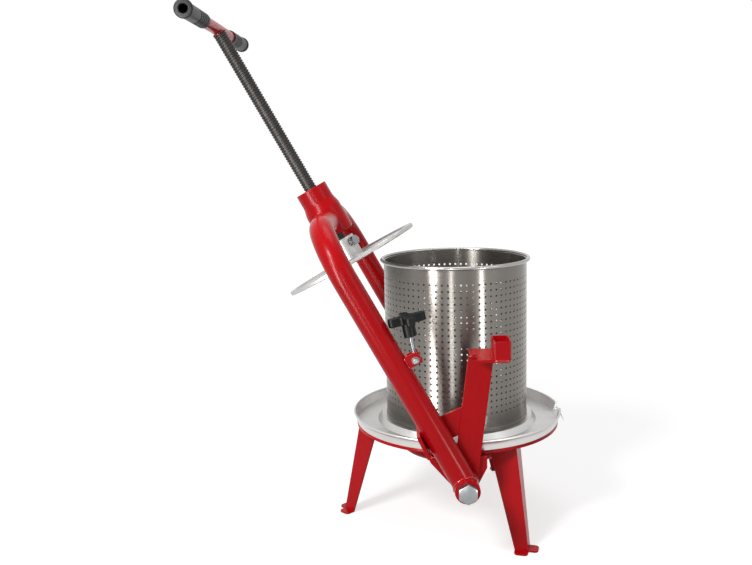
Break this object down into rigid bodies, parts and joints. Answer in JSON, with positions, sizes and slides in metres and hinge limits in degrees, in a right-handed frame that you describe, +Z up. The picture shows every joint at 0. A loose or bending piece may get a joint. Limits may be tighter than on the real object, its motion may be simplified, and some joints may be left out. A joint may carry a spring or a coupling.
{
  "type": "fruit press",
  "caption": "Hand screw press with a perforated basket on a juice tray, a dished base on folded legs and a tilting tubular yoke held by a swing bolt.",
  "frame": {"origin": "on the floor under the basket's axis", "axes": "+Z up along the basket's axis, +X towards the spout, -Y towards the side with the lock; the pivot axis is parallel to Y"},
  "size_m": [0.6407, 0.5496, 0.9314],
  "materials": {
    "red_paint": "glossy powder coat",
    "zinc_plate": "bright zinc plating",
    "tray_steel": "polished sheet",
    "basket_steel": "brushed sheet",
    "plate_aluminium": "turned and polished",
    "black_steel": "black oxide, oiled",
    "nut_brass": "turned",
    "knob_plastic": "moulded, satin",
    "grip_rubber": "moulded, ribbed"
  },
  "bodies": {
    "frame": {"base_dish": "red_paint", "leg_left": "red_paint", "leg_front": "red_paint", "leg_rear": "red_paint", "pivot_bracket_front": "red_paint", "pivot_bracket_rear": "red_paint", "lock_post": "red_paint", "saddle_plate": "red_paint", "lock_tube": "red_paint", "yoke_rest": "red_paint", "pivot_bolt_front": "zinc_plate", "pivot_bolt_rear": "zinc_plate", "pivot_nut_front": "zinc_plate", "pivot_nut_rear": "zinc_plate", "pivot_washer_front": "zinc_plate", "pivot_washer_rear": "zinc_plate", "pivot_spacer": "zinc_plate"},
    "tray": {"juice_tray": "tray_steel"},
    "basket": {"basket_shell": "basket_steel", "basket_rim": "basket_steel"},
    "yoke": {"yoke_arm_front": "red_paint", "yoke_arm_rear": "red_paint", "yoke_hub": "red_paint", "spindle_nut": "nut_brass", "yoke_boss_front": "red_paint", "yoke_boss_rear": "red_paint", "lock_lug": "red_paint", "lug_bolt": "zinc_plate", "lug_nut": "zinc_plate", "lug_washer": "zinc_plate"},
    "lock_bolt": {"eye_bolt": "zinc_plate"},
    "knob": {"star_knob": "knob_plastic"},
    "plate": {"press_plate": "plate_aluminium", "plate_screw": "zinc_plate", "plate_lock_nut": "zinc_plate"},
    "spindle": {"spindle": "black_steel", "t_bar": "red_paint", "grip_front": "grip_rubber", "grip_rear": "grip_rubber"}
  },
  "joints": [
    {"name": "yoke_tilt", "type": "hinge", "parent": "frame", "child": "yoke", "pos_m": [0, 0, 0.142], "axis": [0, 1, 0], "range_deg": [0, 28.6]},
    {"name": "plate_travel", "type": "slide", "parent": "yoke", "child": "plate", "axis": [0.4787, 0, -0.878], "range_m": [-0.0076, 0.0201]},
    {"name": "screw_turn", "type": "hinge", "parent": "plate", "child": "spindle", "pos_m": [-0.20608, 0, 0.51997], "axis": [0.4787, 0, -0.878], "range_deg": [-540, 1440]},
    {"name": "lock_swing", "type": "hinge", "parent": "yoke", "child": "lock_bolt", "pos_m": [-0.08081, -0.236, 0.36082], "axis": [0, 1, 0], "range_deg": [0, 72.5]},
    {"name": "knob_turn", "type": "hinge", "parent": "lock_bolt", "child": "knob", "pos_m": [-0.08081, -0.236, 0.36082], "axis": [-0.1925, 0, 0.9813], "continuous": true},
    {"name": "tray_lift", "type": "slide", "parent": "frame", "child": "tray", "axis": [-0.6947, 0, -0.7193], "range_m": [-0.04, 0]},
    {"name": "basket_lift", "type": "slide", "parent": "tray", "child": "basket", "axis": [-0.766, 0, -0.6428], "range_m": [-0.18, 0]}
  ],
  "couplings": [
    {"joint": "plate_travel", "follows": "screw_turn", "m_per_rad": 0.00079577}
  ]
}
